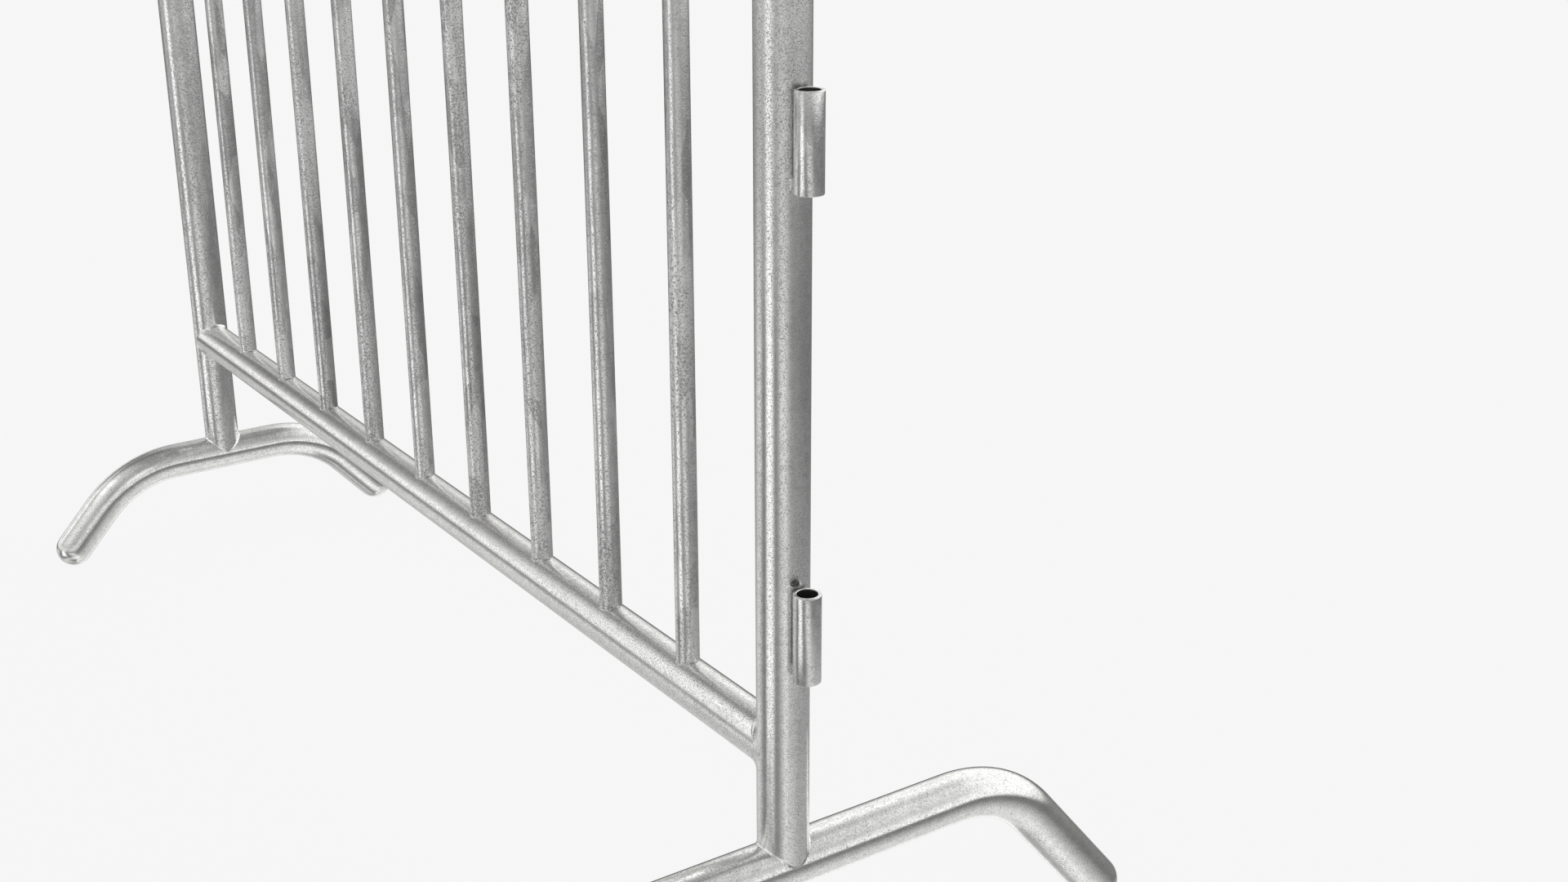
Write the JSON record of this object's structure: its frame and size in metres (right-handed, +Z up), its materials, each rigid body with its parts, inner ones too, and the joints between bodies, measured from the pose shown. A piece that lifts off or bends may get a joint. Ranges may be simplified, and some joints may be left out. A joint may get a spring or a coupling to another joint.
{
  "type": "crowd control barrier",
  "caption": "Free-standing galvanised tube barrier with upright infill bars, arched feet, and hooks and sockets that link it to the next one.",
  "frame": {"origin": "on the ground, midway between the axes of the two posts", "axes": "+X along the barrier towards the sockets, +Y towards the rear, +Z up"},
  "size_m": [1.3962, 0.742, 1.1],
  "materials": {
    "frame_tube": "hot-dip galvanised, mottled grey with bright streaks",
    "infill_bar": "hot-dip galvanised, with long blotchy runs",
    "foot_tube": "hot-dip galvanised, brighter and smoother",
    "coupling": "hot-dip galvanised, matt and blotchy"
  },
  "bodies": {
    "root": {"near_post": "frame_tube", "far_post": "frame_tube", "top_rail": "frame_tube", "bottom_rail": "frame_tube", "bar_1": "infill_bar", "bar_2": "infill_bar", "bar_3": "infill_bar", "bar_4": "infill_bar", "bar_5": "infill_bar", "bar_6": "infill_bar", "bar_7": "infill_bar", "bar_8": "infill_bar", "bar_9": "infill_bar", "near_foot": "foot_tube", "near_foot_front_cap": "foot_tube", "near_foot_rear_cap": "foot_tube", "far_foot": "foot_tube", "far_foot_front_cap": "foot_tube", "far_foot_rear_cap": "foot_tube", "upper_socket": "coupling", "lower_socket": "coupling", "upper_hook": "coupling", "lower_hook": "coupling"}
  },
  "joints": []
}
